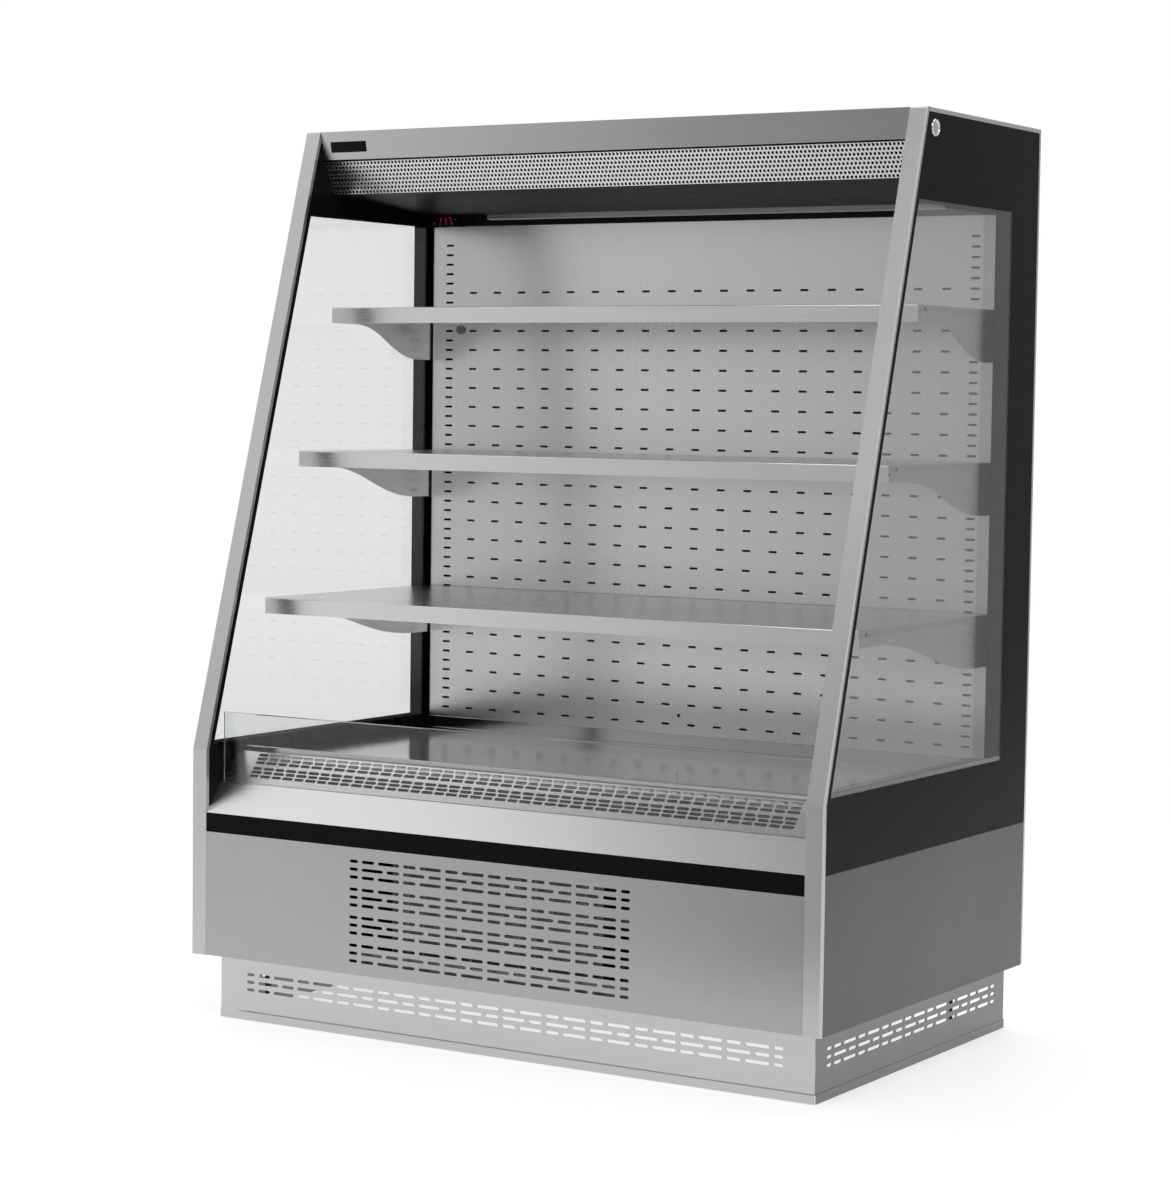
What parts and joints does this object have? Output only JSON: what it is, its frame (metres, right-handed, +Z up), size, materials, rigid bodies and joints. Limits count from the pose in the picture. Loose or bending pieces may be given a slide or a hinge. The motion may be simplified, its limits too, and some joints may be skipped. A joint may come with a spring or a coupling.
{
  "type": "multideck display fridge",
  "caption": "Free-standing open multideck display fridge with sloping glazed ends, lift-off shelves and a slotted air return",
  "frame": {"origin": "on the floor under the middle of the case", "axes": "+Z up, +Y towards the rear of the case, +X to the right of someone who faces it"},
  "size_m": [1.316, 0.814, 1.66],
  "materials": {
    "stainless": "fine brushed stainless sheet",
    "galvanised": "plain zinc-coated sheet",
    "trim_alloy": "satin anodised",
    "liner": "pre-painted light grey sheet",
    "black_trim": "smooth black",
    "black_steel": "satin black powder coat",
    "clear_glass": "clear toughened glass",
    "grey_plastic": "grey moulded",
    "dark_plastic": "dark moulded",
    "black_plastic": "glossy black face",
    "key_plastic": "soft black keys",
    "display_window": "dark red window",
    "milky_plastic": "translucent diffuser",
    "fins": "bare fins",
    "fan_plastic": "moulded rotor",
    "compressor_black": "black enamel shell",
    "copper": "bare tube"
  },
  "bodies": {
    "cabinet": {"base_frame": "galvanised", "plinth_front": "stainless", "plinth_left": "stainless", "plinth_right": "stainless", "insulated_tub": "liner", "rear_wall": "liner", "roof_panel": "liner", "machine_back": "galvanised", "edge_caps": "trim_alloy", "side_plugs": "dark_plastic", "front_band": "black_trim", "bumper_panel": "stainless", "deck_support": "galvanised", "back_panel": "stainless", "uprights": "black_steel", "probe": "grey_plastic", "fascia": "stainless", "air_outlet_grille": "galvanised", "canopy_ceiling": "black_steel", "lamp_housing": "trim_alloy", "lamp_diffuser": "milky_plastic", "badge_plate": "black_trim", "controller_housing": "black_plastic", "controller_display": "display_window", "condenser_coil": "fins", "condenser_shroud": "galvanised", "compressor": "compressor_black", "electrical_box": "dark_plastic", "drain_tray": "dark_plastic", "pipework": "copper", "evaporator_coil": "fins", "evaporator_fan_plate": "galvanised", "front_trim_right": "trim_alloy", "front_trim_left": "trim_alloy", "side_panel_right": "stainless", "side_panel_left": "stainless", "side_frame_right": "black_trim", "side_frame_left": "black_trim", "side_glass_right": "clear_glass", "side_glass_left": "clear_glass"},
    "levelling_feet": {"levelling_feet": "dark_plastic"},
    "louver_panel": {"louver_panel": "stainless"},
    "glass_guard": {"glass_guard": "clear_glass"},
    "return_grille": {"return_grille": "stainless"},
    "deck_tray": {"deck_tray": "stainless"},
    "condenser_fan": {"condenser_fan": "fan_plastic"},
    "evaporator_fan_left": {"evaporator_fan_left": "fan_plastic"},
    "evaporator_fan_right": {"evaporator_fan_right": "fan_plastic"},
    "key_set": {"key_set": "key_plastic"},
    "key_up": {"key_up": "key_plastic"},
    "key_down": {"key_down": "key_plastic"},
    "key_light": {"key_light": "key_plastic"},
    "shelf_brackets_top": {"shelf_brackets_top": "stainless"},
    "shelf_tray_top": {"shelf_tray_top": "stainless"},
    "shelf_brackets_middle": {"shelf_brackets_middle": "stainless"},
    "shelf_tray_middle": {"shelf_tray_middle": "stainless"},
    "shelf_brackets_bottom": {"shelf_brackets_bottom": "stainless"},
    "shelf_tray_bottom": {"shelf_tray_bottom": "stainless"}
  },
  "joints": [
    {"name": "feet_adjust", "type": "slide", "parent": "cabinet", "child": "levelling_feet", "axis": [0, 0, -1], "range_m": [0, 0.02]},
    {"name": "louver_panel_pull", "type": "slide", "parent": "cabinet", "child": "louver_panel", "axis": [0, -1, 0], "range_m": [0, 0.08]},
    {"name": "guard_lift", "type": "slide", "parent": "cabinet", "child": "glass_guard", "axis": [0, 0, 1], "range_m": [0, 0.15]},
    {"name": "grille_lift", "type": "slide", "parent": "cabinet", "child": "return_grille", "axis": [0, 0, 1], "range_m": [0, 0.12]},
    {"name": "deck_lift", "type": "slide", "parent": "cabinet", "child": "deck_tray", "axis": [0, 0, 1], "range_m": [0, 0.12]},
    {"name": "bracket_lift_top", "type": "slide", "parent": "cabinet", "child": "shelf_brackets_top", "axis": [0, 0, 1], "range_m": [0, 0.004]},
    {"name": "shelf_lift_top", "type": "slide", "parent": "shelf_brackets_top", "child": "shelf_tray_top", "axis": [0, 0, 1], "range_m": [0, 0.06]},
    {"name": "bracket_lift_middle", "type": "slide", "parent": "cabinet", "child": "shelf_brackets_middle", "axis": [0, 0, 1], "range_m": [0, 0.004]},
    {"name": "shelf_lift_middle", "type": "slide", "parent": "shelf_brackets_middle", "child": "shelf_tray_middle", "axis": [0, 0, 1], "range_m": [0, 0.06]},
    {"name": "bracket_lift_bottom", "type": "slide", "parent": "cabinet", "child": "shelf_brackets_bottom", "axis": [0, 0, 1], "range_m": [0, 0.004]},
    {"name": "shelf_lift_bottom", "type": "slide", "parent": "shelf_brackets_bottom", "child": "shelf_tray_bottom", "axis": [0, 0, 1], "range_m": [0, 0.06]},
    {"name": "press_set", "type": "slide", "parent": "cabinet", "child": "key_set", "axis": [0, 1, 0], "range_m": [0, 0.0008], "stiffness_N_per_m": 400},
    {"name": "press_up", "type": "slide", "parent": "cabinet", "child": "key_up", "axis": [0, 1, 0], "range_m": [0, 0.0008], "stiffness_N_per_m": 400},
    {"name": "press_down", "type": "slide", "parent": "cabinet", "child": "key_down", "axis": [0, 1, 0], "range_m": [0, 0.0008], "stiffness_N_per_m": 400},
    {"name": "press_light", "type": "slide", "parent": "cabinet", "child": "key_light", "axis": [0, 1, 0], "range_m": [0, 0.0008], "stiffness_N_per_m": 400},
    {"name": "condenser_fan_spin", "type": "hinge", "parent": "cabinet", "child": "condenser_fan", "pos_m": [0, -0.289, 0.225], "axis": [0, 1, 0], "continuous": true},
    {"name": "evaporator_fan_left_spin", "type": "hinge", "parent": "cabinet", "child": "evaporator_fan_left", "pos_m": [-0.26, -0.1758, 0.4413], "axis": [0, 1, 0], "continuous": true},
    {"name": "evaporator_fan_right_spin", "type": "hinge", "parent": "cabinet", "child": "evaporator_fan_right", "pos_m": [0.26, -0.1758, 0.4413], "axis": [0, 1, 0], "continuous": true}
  ]
}
